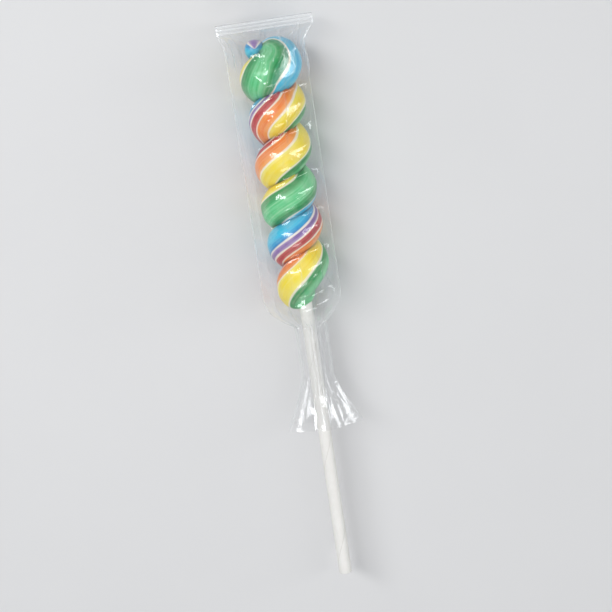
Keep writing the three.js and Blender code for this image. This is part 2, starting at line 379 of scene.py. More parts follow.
@dataclass(frozen=True)
class PulledSugar(Finish):
    """Striped pulled sugar with thin cream lines between its colours."""

    name: str = "pulled_sugar"
    patches: float = 260.0
    grains: float = 3200.0
    stripes: tuple[Stripe, ...] = (
        Stripe(0.000, (Sugar.PALE_YELLOW, Sugar.YELLOW, Sugar.YELLOW, Sugar.PALE_YELLOW)),
        Stripe(0.175, (Sugar.GREEN, Sugar.GREEN, Sugar.PALE_GREEN, Sugar.PALE_GREEN,
                       Sugar.PALE_GREEN, Sugar.GREEN, Sugar.TEAL)),
        Stripe(0.495, (Sugar.CYAN, Sugar.CYAN, Sugar.CYAN, Sugar.BLUE)),
        Stripe(0.720, (Sugar.LILAC, Sugar.PURPLE, Sugar.LILAC)),
        Stripe(0.780, (Sugar.CRIMSON, Sugar.CRIMSON, Sugar.ROSE)),
        Stripe(0.870, (Sugar.ORANGE, Sugar.ORANGE, Sugar.PALE_ORANGE)),
    )
    edge: float = 0.003  # half the width over which one colour turns to the next, in turns
    waver: float = 0.05  # how far the stripes stray across the rope, in turns
    waver_scale: float = 0.16  # waves of that in a millimetre
    line_reach: float = 0.027  # how far a cream line can spread to each side, in turns
    line_scale: float = 0.45  # thick and thin stretches of it in a millimetre
    line_thinning: float = 0.9  # how much its thin stretches lose
    line_fade: float = 0.32
    line_share: float = 0.84  # of cream in its middle
    thread_scale: float = 1.9  # threads in a millimetre across the rope
    thread_stretch: float = 0.03  # and along it, as a share of that
    waver_stretch: float = 0.35  # the same for the waves of the stripes' edges
    pale_thread: float = 0.34  # how pale the palest thread is
    pale_patch: float = 0.22
    deep_thread: float = 0.5  # how deep the deepest is
    bump_depth: float = 0.22
    rope_radius: float = 5.25
    turn_length: float = 30.0  # of the rope for one turn of the coil
    groove_shade: Colour = (0.30, 0.26, 0.26)  # what is left of the light where lobes meet

    def surface(self, bench: Bench) -> Socket:
        """Fill in the nodes.

        Args:
            bench: The material's bench.

        Returns:
            The shader's socket.
        """
        along, across = bench.own_map("rope")
        radians = bench.maths("MULTIPLY", across, TAU)
        ring = [bench.maths("MULTIPLY", bench.maths(kind, radians), self.rope_radius)
                for kind in ("COSINE", "SINE")]
        length = bench.maths("MULTIPLY", along, self.turn_length)
        wavering, drawn = (bench.vector(*ring, bench.maths("MULTIPLY", length, stretch))
                           for stretch in (self.waver_stretch, self.thread_stretch))
        stray = bench.maths("SUBTRACT", bench.noise(wavering, self.waver_scale, 1.0), 0.5)
        place = bench.maths("FRACT", bench.total((stray, self.waver), start=across))
        threads = bench.noise(drawn, self.thread_scale, 3.0, 0.62)
        grain = self.grain(bench)

        colour = bench.ramp(place, self.colour_stops())
        pale = bench.mix(0.5, colour, Sugar.CREAM.value)
        for share in (bench.span(threads, 0.52, 0.72, 0.0, self.pale_thread),
                      bench.span(grain["Tone"], 0.0, 1.0, 0.0, self.pale_patch)):
            colour = bench.mix(share, colour, pale)
        deep = bench.mix(1.0, colour, colour, "MULTIPLY")
        colour = bench.mix(bench.span(threads, 0.50, 0.32, 0.0, self.deep_thread), colour, deep)

        thickness = bench.noise(wavering, self.line_scale)
        outside = bench.total((thickness, self.line_thinning), start=0.02)
        line = bench.span(bench.ramp(place, self.line_stops()), outside,
                          bench.maths("ADD", outside, self.line_fade))
        colour = bench.mix(bench.maths("MULTIPLY", line, self.line_share), colour,
                           Sugar.CREAM.value)
        # painted shade: the sugar is darkened where the lobes meet, where little light gets in
        painted_shade = bench.mix(1.0, deep, self.groove_shade, "MULTIPLY")
        colour = bench.mix(bench.attribute("groove_shade_mask"), colour, painted_shade)

        height = bench.total((grain["Height"], 0.22), (line, 0.10), (threads, 0.55))
        return bench.add("BsdfPrincipled", Base_Color=colour,
                         Roughness=bench.span(threads, 0.3, 0.7, 0.30, 0.42),
                         Normal=bench.bump(height, self.bump_depth), IOR=1.5, Coat_Weight=0.25,
                         Coat_Roughness=0.16, Subsurface_Weight=0.12,
                         Subsurface_Radius=(1.0, 0.6, 0.4), Subsurface_Scale=0.0009).outputs[0]

    def colour_stops(self) -> list[tuple[float, Colour]]:
        """Spread each stripe's colours from its start to the start of the next.

        Returns:
            Places across the rope and colours, for a ramp.
        """
        stops = []
        ends = [stripe.start for stripe in self.stripes[1:]] + [1.0]
        for stripe, end in zip(self.stripes, ends):
            places = np.linspace(stripe.start + self.edge, end - self.edge, len(stripe.colours))
            stops += zip(places.tolist(), (colour.value for colour in stripe.colours))
        return stops

    def line_stops(self) -> list[tuple[float, Colour]]:
        """Put a peak of 1 where each stripe starts, falling to 0 at its reach.

        Returns:
            Places across the rope and shades of grey, for a ramp.
        """
        starts = [stripe.start for stripe in self.stripes] + [1.0]
        stops = [(start + side * self.line_reach, (1.0 - abs(side),) * 3)
                 for start in starts for side in (-1, 0, 1)]
        return stops[1:-1]


@dataclass(frozen=True)
class RolledPaper(Finish):
    """Matte white paper, rolled tight, with the edge of the sheet winding round it."""

    name: str = "rolled_paper"
    patches: float = 420.0
    grains: float = 5200.0
    colour: Colour = (0.86, 0.85, 0.82)
    dull: Colour = (0.80, 0.79, 0.75)
    fibre: Colour = (0.72, 0.70, 0.65)
    edge: Colour = (0.55, 0.53, 0.49)
    fibres_round: float = 90.0
    fibres_along: float = 0.35  # in a millimetre
    seam_pitch: float = 27.0  # along the stick for one turn of the sheet's edge
    seam_width: float = 0.012  # in turns
    bump_depth: float = 0.05

    def surface(self, bench: Bench) -> Socket:
        """Fill in the nodes.

        Args:
            bench: The material's bench.

        Returns:
            The shader's socket.
        """
        turns, along = bench.own_map("sheet")
        grain = self.grain(bench)
        stretched = bench.vector(bench.maths("MULTIPLY", turns, self.fibres_round),
                                 bench.maths("MULTIPLY", along, self.fibres_along), 0.0)
        fibres = bench.noise(stretched, 1.0, 3.0, 0.6)
        winding = bench.maths("FRACT", bench.total((along, -1 / self.seam_pitch), start=turns))
        from_seam = bench.maths("ABSOLUTE", bench.maths("SUBTRACT", winding, 0.5))
        seam = bench.span(from_seam, 0.0, self.seam_width, 1.0, 0.0)
        shade = self.colour
        for share, colour in ((bench.maths("MULTIPLY", grain["Tone"], 0.5), self.dull),
                              (bench.span(fibres, 0.4, 0.75, 0.0, 0.25), self.fibre),
                              (bench.maths("MULTIPLY", seam, 0.5), self.edge)):
            shade = bench.mix(share, shade, colour)
        height = bench.total((seam, -0.7), (fibres, 0.5), (grain["Height"], 0.4))
        return bench.add("BsdfPrincipled", Base_Color=shade,
                         Normal=bench.bump(height, self.bump_depth),
                         Roughness=bench.span(fibres, 0.3, 0.7, 0.55, 0.72)).outputs[0]


@dataclass(frozen=True)
class ClearFilm(Finish):
    """Thin clear film: it mirrors what is bright, most where it turns away, and is painted white
    where it is marked: the frosting of its seal and gathered neck, and painted highlights along
    creases, pleats and pressed edges.
    """

    name: str = "clear_film"
    patches: float = 190.0
    grains: float = 900.0
    tint: Colour = (0.95, 0.97, 0.985)
    facing: float = 0.05  # share it shows of itself where it is looked at squarely
    grazing: float = 0.85  # what it gains where it is looked at along its surface
    sharpness: float = 4.5  # how late it gains that, as a power
    veil: float = 0.50  # what the marked whiteness adds to that: seal frosting, gathered film, and painted highlights on creases
    patchiness: float = 0.02
    mirror: float = 0.75  # share of what it shows that is mirrored
    creased_mirror: float = 0.15  # and where it is creased, which scatters more
    bump_depth: float = 0.06

    def surface(self, bench: Bench) -> Socket:
        """Fill in the nodes.

        Args:
            bench: The material's bench.

        Returns:
            The shader's socket.
        """
        grain = self.grain(bench)
        # whiteness painted on the film: seal frosting, gathered layers, and painted highlights
        # along creases, pleats and pressed edges
        whitening_and_glint = bench.attribute("whitening_and_glint")
        normal = bench.bump(grain["Height"], self.bump_depth)
        turned = bench.add("LayerWeight", Blend=0.5, Normal=normal).outputs["Facing"]
        shown = bench.total((bench.maths("POWER", turned, self.sharpness), self.grazing),
                            (whitening_and_glint, self.veil), (grain["Tone"], self.patchiness),
                            start=self.facing)
        return bench.add("BsdfPrincipled", Base_Color=(*self.tint, 1), Normal=normal,
                         Metallic=bench.span(whitening_and_glint, 0.05, 0.6, self.mirror,
                                             self.creased_mirror),
                         Roughness=bench.span(grain["Tone"], 0.0, 1.0, 0.05, 0.13),
                         Alpha=bench.maths("MINIMUM", shown, 1.0)).outputs[0]


@dataclass(frozen=True)
class PaleTable(Finish):
    """A smooth pale surface to lie on."""

    name: str = "pale_table"
    patches: float = 20.0
    grains: float = 900.0
    colour: Colour = (0.70, 0.70, 0.705)
    dull: Colour = (0.67, 0.67, 0.675)

    def surface(self, bench: Bench) -> Socket:
        """Fill in the nodes.

        Args:
            bench: The material's bench.

        Returns:
            The shader's socket.
        """
        share = bench.maths("MULTIPLY", self.grain(bench)["Tone"], 0.3)
        shade = bench.mix(share, self.colour, self.dull)
        return bench.add("BsdfPrincipled", Base_Color=shade, Roughness=0.7).outputs[0]


# ---- the lollipop ----


@dataclass(frozen=True)
class Layout:
    """Places along the stick's axis, which the pieces share."""

    stick_end: float = -75.75
    hem: float = -33.25
    neck_end: float = -19.25
    neck_start: float = -5.25
    shoulder: float = -0.75
    first_lobe: float = 61.15
    tip: float = 71.25
    seal_end: float = 75.75
    axis_height: float = 8.6  # above the table


@dataclass(frozen=True)
class Coil:
    """One thick strand of pulled sugar, coiled tightly on itself as a right-handed screw."""

    layout: Layout
    helix_radius: float = 2.2
    strand_radius: float = 5.7
    lobe_spacing: float = 10.45
    first_turn: float = -5.33 * TAU
    last_turn: float = 0.75 * TAU
    fold_climb: float = 1.5  # of the strand's last turn, over the coil's own rise
    fold_climb_turns: float = 0.6
    fold_start_turns: float = 0.2
    knob_radius: float = 2.6
    knob_reach: float = 3.3
    knob_start_turns: float = 0.5
    spread: float = 0.8
    swelling: float = 0.08
    swelling_turns: float = -0.05  # where the strand is thickest
    swelling_span_turns: float = 0.5
    side_lift: float = 1.7
    side_lift_turns: float = -0.24  # where it is full, and again a turn further down
    side_lift_gone: float = -3.5  # turns at which it has died away
    shoulder_thinning: float = 0.9
    shoulder_drop: float = 1.3
    spacing_wobble: float = 0.3
    wobble_length: float = 5.9
    thickness_wobble: float = 0.06
    thickness_rate: float = 0.83
    # Turn of the coil, turns across the rope that then show on its crest, and their rate.
    twist: tuple[Triple, ...] = (
        (-5.4, -0.15, 0.70), (-5.0, 0.133, 0.70), (-4.0, 0.747, 0.45), (-3.0, 1.338, 0.35),
        (-2.0, 2.058, 0.58), (-1.0, 2.955, 1.03), (-0.8, 3.16, 0.60), (-0.2, 3.18, 1.20),
        (-0.06, 3.365, 0.95), (0.05, 3.462, 0.62), (0.13, 3.52, 1.10), (0.2, 3.62, 1.80),
        (0.28, 3.71, 0.30), (0.45, 3.67, 0.00), (0.8, 3.66, 0.00),
    )
    # How much closer the stripes lie on the crest than beside the axis, below the first lobe
    # and on it, and the turns over which that changes.
    crowding: Span = (0.5, -0.15)
    uncrowding: Span = (-0.75, -0.25)
    closing: Span = (0.2, 0.55)  # turns over which they run together at the end
    closed_sway: float = -0.09

    def turn_at(self, y: Array) -> Array:
        """Radians that the coil has gone at a place along the axis: 0 at the first lobe."""
        from_first = y - self.layout.first_lobe
        return (TAU * from_first / self.lobe_spacing
                + self.spacing_wobble * np.sin(from_first / self.wobble_length))

    def height(self, turn: Array) -> Array:
        """Find where along the axis the coil gets to.

        Args:
            turn: Radians of the coil.

        Returns:
            The place along the axis.
        """
        from_first = self.lobe_spacing * turn / TAU
        wobble = np.sin(from_first / self.wobble_length) * self.spacing_wobble
        return self.layout.first_lobe + from_first - wobble * self.lobe_spacing / TAU

    def swelling_at(self, turn: Array) -> Array:
        """How far the strand has swollen for the first lobe, from 0 to 1."""
        return 1 - smoothstep(np.abs(turn / TAU - self.swelling_turns), 0,
                              self.swelling_span_turns)

    def side_lift_at(self, turn: Array) -> Array:
        """Find how far the strand rides up, on the left of each lobe.

        Args:
            turn: Radians of the coil.

        Returns:
            The share of its full lift.
        """
        turns = np.minimum(turn / TAU, self.side_lift_turns + 0.5)
        wave = (1 + np.cos(TAU * (turns - self.side_lift_turns))) / 2
        return wave * smoothstep(turns, self.side_lift_gone, self.side_lift_turns)

    def centre(self, turn: Array) -> Array:
        """Find the middle of the strand.

        Args:
            turn: Radians of the coil.

        Returns:
            Rows of x, y and z, with z from the axis.
        """
        at_start = 1 - smoothstep(turn, self.first_turn, self.first_turn + TAU / 2)
        climbed = np.clip(turn / self.fold_climb_turns, 0, TAU)
        y = (self.height(turn) + self.fold_climb * (1 - np.cos(climbed)) / 2
             + self.side_lift * self.side_lift_at(turn) - self.shoulder_drop * at_start)
        opening = blend(self.helix_radius, self.knob_reach,
                        smoothstep(turn, TAU * self.knob_start_turns, self.last_turn))
        reach = (opening * blend(1, self.shoulder_thinning, at_start)
                 + self.spread * self.swelling_at(turn) * np.sin(turn) ** 2)
        return np.stack([reach * np.sin(turn), y, reach * np.cos(turn)], axis=-1)

    def radius(self, turn: Array) -> Array:
        """Find how thick the strand is.

        Args:
            turn: Radians of the coil.

        Returns:
            Its radius.
        """
        folding = smoothstep(turn, TAU * self.fold_start_turns, self.last_turn)
        at_start = 1 - smoothstep(turn, self.first_turn, self.first_turn + TAU / 3)
        wobble = 1 - self.thickness_wobble * (1 - np.sin(self.thickness_rate * turn)) / 2
        full = (self.strand_radius * blend(1, self.shoulder_thinning, at_start) * wobble
                * (1 + self.swelling * self.swelling_at(turn)))
        return blend(full, self.knob_radius, folding)

    def reach(self, origin: Array, direction: Array, turn: Array) -> Array:
        """Find how far rays run before they leave balls of the strand.

        Args:
            origin: Where each ray starts, with a last axis of 3.
            direction: Its unit direction, likewise.
            turn: The balls' places on the coil, with one more axis than the rays.

        Returns:
            The distance for each ray and ball, 0 where the ray misses the ball.
        """
        offset = self.centre(turn) - origin[..., None, :]
        nearest = np.einsum("...ij,...j->...i", offset, direction)
        chord = self.radius(turn) ** 2 - np.einsum("...i,...i->...", offset, offset) + nearest ** 2
        return np.where(chord > 0, nearest + np.sqrt(np.maximum(chord, 0)), 0)

    def rope_place(self, point: Array, turn: Array) -> Array:
        """Find where on the rope a point of its surface lies.

        Args:
            point: Points on balls of the strand.
            turn: Those balls' places on the coil.

        Returns:
            Turns along the rope and turns across it.
        """
        offset = point - self.centre(turn)
        outwards = offset[..., 0] * np.sin(turn) + offset[..., 2] * np.cos(turn)
        bearing = np.arctan2(offset[..., 1], outwards)
        crowding = blend(*self.crowding, smoothstep(turn / TAU, *self.uncrowding))
        open_turns = (bearing + crowding * np.sin(bearing)) / TAU
        across = blend(open_turns, self.closed_sway * np.sin(bearing),
                       smoothstep(turn / TAU, *self.closing))
        return np.stack([turn / TAU, hermite(turn / TAU, self.twist) - across], axis=-1)


@dataclass
class Candy(Piece):
    """The coiled strand as one closed surface, fused along its turns."""

    layout: Layout
    coil: Coil
    name: str = "rope_candy"
    node: str = "candy"
    finish: Finish = field(default_factory=PulledSugar)
    sides: int = 120
    rows_per_lobe: int = 36
    end_steps: int = 26
    ball_step: float = 0.02
    window: int = 45  # balls to each side of a face's own that its corners are tried against
    corner_pull: float = 0.12  # how far a corner's colour is read from inside its face
    lobe_apart: float = 3.6  # radians of the coil from which balls belong to another lobe
    # across which the painted shade of the grooves fades, in millimetres
    groove_shade_width: float = 0.6
    crease_angle: float = math.radians(32)
    merge_distance: float = 2e-4
    batch: int = 1500
    unevenness: float = 0.0175  # height of each of its waves
    sinking: float = 0.042  # of the surface as a whole
    waves: int = 14
    wave_rate: float = 0.75  # radians in a millimetre
    seed: int = 5

    def __post_init__(self) -> None:
        """Find where the rays over the shoulder and the tip start, and count the rows."""
        self.low = self.layout.shoulder + self.coil.strand_radius
        self.high = self.layout.tip - 2 * self.coil.knob_radius
        below, above = (self.coil.turn_at(y) / TAU for y in (self.low, self.high))
        self.rows_below = math.ceil((1 - below) * self.rows_per_lobe) + 1
        self.rows = self.rows_below + math.ceil(above * self.rows_per_lobe) + 1

    def model(self, bm: Mesh) -> None:
        """Model the candy and map the rope onto it.

        Args:
            bm: The empty mesh.
        """
        size = self.sides, self.rows + 2 * self.end_steps
        grid = self.open_grid(bm, *size) * size
        balls = np.arange(self.coil.first_turn, self.coil.last_turn, self.ball_step)
        origin, direction = self.rays(grid)
        reach, _, next_lobe = self.farthest(origin, direction, balls)
        points = origin + direction * reach[:, None]
        corners = np.array([[loop.vert.index for loop in face.loops] for face in bm.faces])
        rope = self.rope_corners(grid, points, corners, balls)
        layer = bm.loops.layers.uv.new("rope")
        for face, places in zip(bm.faces, rope):
            for loop, place in zip(face.loops, places):
                loop[layer].uv = place
        points += direction * self.roughness_of(points)[:, None]
        points[:, 2] += self.layout.axis_height
        # painted shade mask: near 1 where another lobe's surface lies close behind this one
        groove_shade_mask = np.exp((next_lobe - reach) / self.groove_shade_width)
        self.close_grid(bm, points, "groove_shade_mask", groove_shade_mask)
        self.sharpen(bm)

    def rays(self, grid: Array) -> tuple[Array, Array]:
        """Send a ray from the axis for each place of the grid.

        Args:
            grid: Columns round the axis and rows along it.

        Returns:
            The rays' origins and unit directions.
        """
        angle = TAU * grid[:, 0] / self.sides
        step = grid[:, 1] - self.end_steps
        row = np.clip(step, 0, self.rows)
        height = self.coil.height(angle + TAU * (row - self.rows_below) / self.rows_per_lobe)
        origin = np.zeros((len(grid), 3))
        origin[:, 1] = np.clip(height, self.low, self.high)
        rise = TAU / 4 * (step - row) / self.end_steps
        level = np.maximum(np.cos(rise), 0)
        level[np.isclose(np.abs(step - row), self.end_steps)] = 0
        direction = np.stack([level * np.sin(angle), np.sin(rise), level * np.cos(angle)], -1)
        return origin, direction

    def farthest(self, origin: Array, direction: Array,
                 turn: Array) -> tuple[Array, Array, Array]:
        """Find the ball that each ray leaves last.

        Args:
            origin: The rays' origins.
            direction: Their unit directions.
            turn: The balls' places: one row for all rays, or a row for each.

        Returns:
            The distance to the surface, the turn of the ball there, read between balls, and
            the distance at which the ray leaves the balls of the other lobes.
        """
        reaches, turns, others = [], [], []
        for start in range(0, len(origin), self.batch):
            part = slice(start, start + self.batch)
            tried = turn if turn.ndim == 1 else turn[part]
            reach = self.coil.reach(origin[part], direction[part], tried)
            best = np.clip(reach.argmax(axis=1), 1, reach.shape[1] - 2)
            line = np.arange(len(best))
            before, here, after = (reach[line, best + k] for k in (-1, 0, 1))
            bend = before - 2 * here + after
            lean = np.where(np.abs(bend) > 1e-9, (before - after) / np.where(bend, bend, 1) / 2, 0)
            at_best = tried[best] if turn.ndim == 1 else tried[line, best]
            turns.append(at_best + self.ball_step * np.clip(lean, -0.5, 0.5))
            reaches.append(reach.max(axis=1))
            others.append(np.where(np.abs(tried - at_best[:, None]) > self.lobe_apart,
                                   reach, 0).max(axis=1))
        return np.concatenate(reaches), np.concatenate(turns), np.concatenate(others)

    def rope_corners(self, grid: Array, points: Array, corners: Array, balls: Array) -> Array:
        """Map the rope onto the faces, so that each face lies on one lobe alone.

        Args:
            grid: The grid's columns and rows.
            points: The vertices.
            corners: Each face's four vertices.
            balls: The turns of the coil's balls.

        Returns:
            For each face and corner, turns along the rope and turns across it.
        """
        middle = grid[corners].mean(axis=1)
        origin, direction = self.rays(middle)
        reach, turn, _ = self.farthest(origin, direction, balls)
        own = self.coil.rope_place(origin + direction * reach[:, None], turn)
        nearby = turn[:, None] + self.ball_step * np.arange(-self.window, self.window + 1)
        nearby = np.clip(nearby, self.coil.first_turn, self.coil.last_turn)
        places = []
        for corner in corners.T:
            inside = blend(grid[corner], middle, self.corner_pull)
            start, towards = self.rays(inside)
            _, nearest, _ = self.farthest(start, towards, nearby)
            place = self.coil.rope_place(points[corner], nearest)
            place[:, 1] = own[:, 1] + (place[:, 1] - own[:, 1] + 0.5) % 1 - 0.5
            places.append(place)
        return np.stack(places, axis=1)

    def roughness_of(self, points: Array) -> Array:
        """Leave the slow bumps and hollows of the hands that shaped it.

        Args:
            points: Places on the surface.

        Returns:
            How far each is pushed out.
        """
        draw = np.random.default_rng(self.seed)
        total = np.zeros(len(points))
        for _ in range(self.waves):
            wave = draw.normal(size=3) * self.wave_rate
            total += np.sin(points @ wave + draw.uniform(0, TAU))
        return self.unevenness * total - self.sinking


@dataclass
class PaperStick(Piece):
    """The rolled paper stick, with the turns of the sheet showing at its cut end."""

    layout: Layout
    name: str = "paper_stick"
    node: str = "stick"
    finish: Finish = field(default_factory=RolledPaper)
    radius: float = 1.75
    length: float = 99.0
    edge: float = 0.2
    sides: int = 96
    edge_steps: int = 3
    rings: int = 60
    layers: int = 4  # turns of the sheet that show at the end
    layer: float = 0.3
    gap: float = 0.035
    gap_depth: float = 0.12

    def model(self, bm: Mesh) -> None:
        """Model the stick from its cut end.

        Args:
            bm: The empty mesh.
        """
        bmesh.ops.create_circle(bm, cap_ends=True, radius=self.radius, segments=self.sides)
        disc = bm.faces[:]
        for width, depth in self.layers * ((self.layer, 0), (self.gap, self.gap_depth),
                                           (self.gap, -self.gap_depth)):
            bmesh.ops.inset_region(bm, faces=disc, thickness=width, depth=depth,
                                   use_boundary=True, use_even_offset=True)
        wall = [edge for edge in bm.edges if edge.is_boundary]
        grown = bmesh.ops.extrude_edge_only(bm, edges=wall)["geom"]
        far = [item for item in grown if isinstance(item, bmesh.types.BMVert)]
        bmesh.ops.translate(bm, verts=far, vec=(0, 0, self.length))
        bmesh.ops.holes_fill(bm, edges=[edge for edge in bm.edges if edge.is_boundary])
        rims = [edge for edge in bm.edges if self.is_rim(edge)]
        bmesh.ops.bevel(bm, geom=rims, offset=self.edge, offset_type="OFFSET",
                        segments=self.edge_steps, profile=0.5, affect="EDGES", material=-1)
        sides = [edge for edge in bm.edges if self.is_side(edge)]
        bmesh.ops.subdivide_edges(bm, edges=sides, cuts=self.rings, use_grid_fill=True)
        turn = Matrix.Rotation(-math.pi / 2, 3, "X")
        bmesh.ops.rotate(bm, verts=bm.verts, matrix=turn)
        at = Vector((0, self.layout.stick_end, self.layout.axis_height))
        bmesh.ops.translate(bm, verts=bm.verts, vec=at)
        bmesh.ops.recalc_face_normals(bm, faces=bm.faces)
        self.map_sheet(bm)
        self.sharpen(bm)

    def is_rim(self, edge: bmesh.types.BMEdge) -> bool:
        """Whether an edge runs round either end of the stick."""
        outside = self.radius - self.edge
        return all(math.hypot(*vert.co[:2]) > outside for vert in edge.verts) and (
            abs(edge.verts[0].co.z - edge.verts[1].co.z) < self.edge)

    def is_side(self, edge: bmesh.types.BMEdge) -> bool:
        """Whether an edge runs along the stick."""
        return abs(edge.verts[0].co.z - edge.verts[1].co.z) > self.length / 2

    def map_sheet(self, bm: Mesh) -> None:
        """Map turns round the stick, and millimetres along it.

        Args:
            bm: The stick.
        """
        layer = bm.loops.layers.uv.new("sheet")
        for face in bm.faces:
            middle = face.calc_center_median()
            own = math.atan2(middle.x, middle.z - self.layout.axis_height) / TAU
            for loop in face.loops:
                at = loop.vert.co
                turn = math.atan2(at.x, at.z - self.layout.axis_height) / TAU
                loop[layer].uv = (own + (turn - own + 0.5) % 1 - 0.5, at.y)


class Stretch(Enum):
    """The stretches of the sleeve, which crease in ways of their own."""

    BODY, TIP, NECK, SKIRT = range(4)


@dataclass(frozen=True)
class Wrinkles:
    """Straight creases in flat film, each with a sharp ridge that fades at both ends."""

    stretch: Stretch
    count: int
    along: Span  # where they lie along the stick
    lean: Span  # radians from the stick's direction
    half_length: Span
    width: Span
    height: Span
    crease_glint: float  # how much a millimetre of height marks the film with painted glint
    seed: int

    def ridges(self, angle: Array, y: Array, radius: float) -> Array:
        """Add up the creases' heights.

        Args:
            angle: Radians round the sleeve.
            y: Places along the stick.
            radius: What turns an angle into a length.

        Returns:
            The height at each place.
        """
        draw = np.random.default_rng(self.seed)
        total = np.zeros_like(y)
        for _ in range(self.count):
            middle, turned, lean, half, width, height = (
                draw.uniform(*span) for span in (self.along, (-math.pi, math.pi), self.lean,
                                                 self.half_length, self.width, self.height))
            beside = radius * ((angle - turned + math.pi) % TAU - math.pi)
            over = y - middle
            run = over * math.cos(lean) + beside * math.sin(lean)
            off = beside * math.cos(lean) - over * math.sin(lean)
            fade = np.clip(1 - (run / half) ** 2, 0, 1)
            total += height * fade * np.exp(-np.abs(off) / width)
        return total


@dataclass
class FilmSleeve(Piece):
    """A flat tube of clear film: sealed across the tip, gathered on the stick, open below."""

    layout: Layout
    coil: Coil
    name: str = "film_sleeve"
    node: str = "wrapper"
    finish: Finish = field(default_factory=ClearFilm)
    inset: float = 0.25  # inside the CAD sleeve's outer face
    slack: float = 0.6
    sag: float = 1.55
    sag_sharpness: float = 4.0
    sag_fade: float = 3.0
    pressed_angle: float = 0.4
    left_margin: float = 2.2
    right_margin: float = 0.8
    pressed_share: float = 0.6  # of a pressed edge's angle, where the film starts to dip
    freed_share: float = 1.4  # and where it dips freely
    seal_closing: float = 5.0
    seal_curve: float = 2.2
    seal_length: float = 2.6
    seal_half_width: float = 12.5
    seal_half_height: float = 0.25
    seal_rise: float = 0.4  # over which the film goes flat
    seal_cut: float = 0.3  # over which it closes at its end
    rib_pitch: float = 0.52
    rib_height: float = 0.07
    rib_whiteness: Span = (0.45, 0.25)  # of the seal, and what its ribs add and take
    shoulder_slope: float = 9.0
    shoulder_curve: float = 2.2
    neck_half_width: float = 4.3
    neck_half_height: float = 3.0
    neck_shift: float = 0.5
    neck_pleats: int = 13
    neck_pleat_depth: float = 0.42
    neck_layers_and_glints: Span = (0.2, 0.8)  # whiteness of the gathered layers between its pleats, and the painted highlights that the pleats add
    skirt_whiteness: float = 0.4  # what is left of that at the hem
    gathered_share: float = 0.6  # of the sleeve's radius, where it is gathered
    hem_half_width: float = 10.4
    hem_half_height: float = 5.4
    flare_curve: float = 1.3
    hem_wave: float = 1.2
    hem_folds: int = 5
    hem_pleats: float = 0.9  # share of the neck's pleats that starts out on the skirt
    skirt_crumple: float = 0.3  # share of its creases that reaches up the neck
    fold_width: float = 0.3  # of the painted highlight along each pressed edge, a white line
    fold_highlight: float = 0.75
    table_gap: float = 0.02  # under the film
    wrinkles: tuple[Wrinkles, ...] = (
        Wrinkles(Stretch.BODY, 24, (0, 66), (-0.10, 0.10), (10, 34), (0.12, 0.3),
                 (0.05, 0.16), 3.4, 11),
        Wrinkles(Stretch.BODY, 150, (0, 64), (0.5, 1.35), (1.5, 5.0), (0.10, 0.35),
                 (-0.10, 0.20), 0.8, 12),
        Wrinkles(Stretch.BODY, 70, (0, 64), (-1.3, -0.4), (1.5, 4.5), (0.10, 0.3),
                 (-0.08, 0.16), 0.8, 13),
        Wrinkles(Stretch.TIP, 64, (65, 73), (-0.45, 0.45), (2.5, 7.5), (0.12, 0.35),
                 (-0.35, 0.6), 1.3, 14),
        Wrinkles(Stretch.NECK, 60, (-8, 5), (-0.3, 0.3), (3, 8), (0.12, 0.35),
                 (-0.2, 0.35), 0.9, 15),
        Wrinkles(Stretch.SKIRT, 34, (-33, -16), (-0.25, 0.25), (4, 12), (0.15, 0.5),
                 (-0.3, 0.3), 0.8, 16),
    )
    columns: int = 288
    rows: int = 336

    def model(self, bm: Mesh) -> None:
        """Model the film.

        Args:
            bm: The empty mesh.
        """
        share = self.open_grid(bm, self.columns, self.rows)
        y = blend(self.layout.hem, self.layout.seal_end, share[:, 1])
        points, whitening_and_glint = self.film(TAU * share[:, 0], y)
        self.close_grid(bm, points, "whitening_and_glint", whitening_and_glint)

    def sleeve(self, angle: Array, y: Array) -> Array:
        """Stretch the film round the candy, with a pressed edge at each side.

        Args:
            angle: Radians round the axis.
            y: Places along it.

        Returns:
            Rows of x and of z, from the axis.
        """
        full = self.layout.axis_height + self.slack
        margin = np.where(angle < math.pi, self.right_margin, self.left_margin)
        tangent = np.arccos(full / (full + margin))
        from_edge = np.abs(angle % math.pi - math.pi / 2)
        from_lobe = np.abs(np.sin((angle - self.coil.turn_at(y)) / 2))
        first = self.layout.first_lobe
        below_tip = 1 - smoothstep(y, first - self.sag_fade, first + self.sag_fade)
        off_margin = smoothstep(from_edge / tangent, self.pressed_share, self.freed_share)
        off_table = smoothstep(np.abs(angle - math.pi), self.pressed_angle,
                               2 * self.pressed_angle)
        dip = self.sag * below_tip * off_margin * off_table * from_lobe ** self.sag_sharpness
        radius = (full - self.inset) / np.cos(np.maximum(tangent - from_edge, 0)) - dip
        return np.stack([radius * np.sin(angle), radius * np.cos(angle)])

    def oval(self, angle: Array, half_width: float, half_height: float, loose: Array) -> Array:
        """An oval section with loose folds standing on it."""
        return np.stack([(half_width - self.inset + loose) * np.sin(angle),
                         (half_height - self.inset + loose) * np.cos(angle)])

    def folds(self, angle: Array, count: int, depth: float) -> Array:
        """Loose folds round the stick, two sets of them of unlike number."""
        return depth * (0.6 * np.sin(count * angle + 0.7) + 0.4 * np.sin((count - 2) * angle + 2))

    def pleats(self, angle: Array, y: Array) -> Array:
        """Gather the neck in sharp pleats, which wander a little along the stick.

        Args:
            angle: Radians round the axis.
            y: Places along it.

        Returns:
            Their height, from -1 to 1.
        """
        wander = 0.35 * np.sin(y / 4.1 + 3 * angle) + 0.25 * np.sin(y / 2.3 - 2 * angle)
        saw = np.abs(((self.neck_pleats * angle + wander) / math.pi) % 2 - 1)
        uneven = 0.7 + 0.3 * np.sin(4 * angle + 1.1)
        return uneven * (2 * saw - 1)

